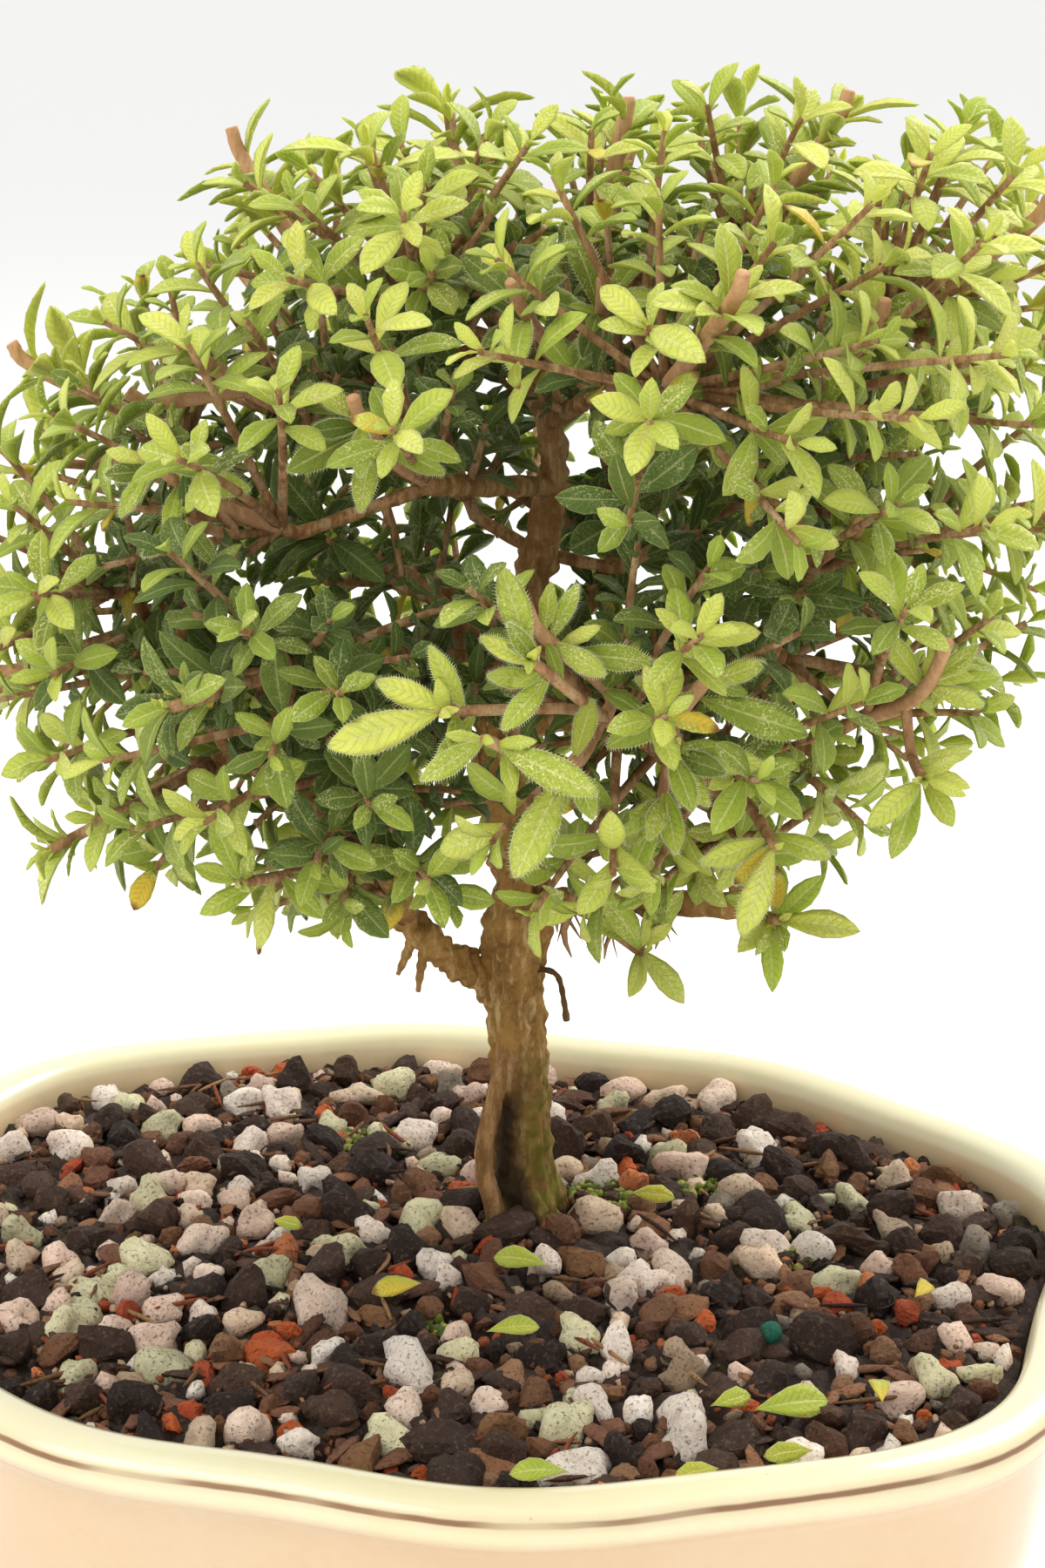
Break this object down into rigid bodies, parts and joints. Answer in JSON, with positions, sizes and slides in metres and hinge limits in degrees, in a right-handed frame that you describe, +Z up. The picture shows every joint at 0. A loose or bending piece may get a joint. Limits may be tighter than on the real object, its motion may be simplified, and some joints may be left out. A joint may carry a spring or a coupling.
{
  "type": "potted bonsai tree",
  "caption": "Small-leaved tropical bonsai with a fluted trunk and a broad leafy crown, planted in granular soil in a low cream-glazed oval pot with an eight-lobed rim.",
  "frame": {"origin": "middle of the part's footprint on the ground, under the middle of the pot", "axes": "+Z up; X runs along the pot's long side, with the crown's longer, higher side towards +X; the side pictured faces -Y"},
  "size_m": [0.1918, 0.1606, 0.2306],
  "materials": {
    "cream_glaze": "gloss",
    "potting_mix": "matte",
    "bark": "matte",
    "foliage": "satin",
    "mesh_plastic": "matte"
  },
  "bodies": {
    "root": {"pot": "cream_glaze", "drain_screen_left": "mesh_plastic", "drain_screen_right": "mesh_plastic", "soil": "potting_mix", "trunk": "bark", "spray_01": "foliage", "spray_02": "foliage", "spray_03": "foliage", "spray_04": "foliage", "spray_05": "foliage", "spray_06": "foliage", "spray_07": "foliage", "spray_08": "foliage", "spray_09": "foliage", "spray_10": "foliage", "spray_11": "foliage", "spray_12": "foliage", "spray_13": "foliage", "spray_14": "foliage", "spray_15": "foliage", "spray_16": "foliage", "spray_17": "foliage", "spray_18": "foliage", "spray_19": "foliage", "spray_20": "foliage", "spray_21": "foliage", "spray_22": "foliage", "spray_23": "foliage", "spray_24": "foliage", "spray_25": "foliage", "spray_26": "foliage", "spray_27": "foliage", "spray_28": "foliage", "spray_29": "foliage", "spray_30": "foliage", "spray_31": "foliage", "spray_32": "foliage", "spray_33": "foliage", "spray_34": "foliage", "spray_35": "foliage", "spray_36": "foliage", "spray_37": "foliage", "spray_38": "foliage", "spray_39": "foliage", "spray_40": "foliage", "spray_41": "foliage", "spray_42": "foliage", "spray_43": "foliage", "spray_44": "foliage", "spray_45": "foliage", "spray_46": "foliage", "spray_47": "foliage", "spray_48": "foliage", "spray_49": "foliage", "spray_50": "foliage", "spray_51": "foliage", "spray_52": "foliage", "spray_53": "foliage", "spray_54": "foliage", "spray_55": "foliage"}
  },
  "joints": []
}
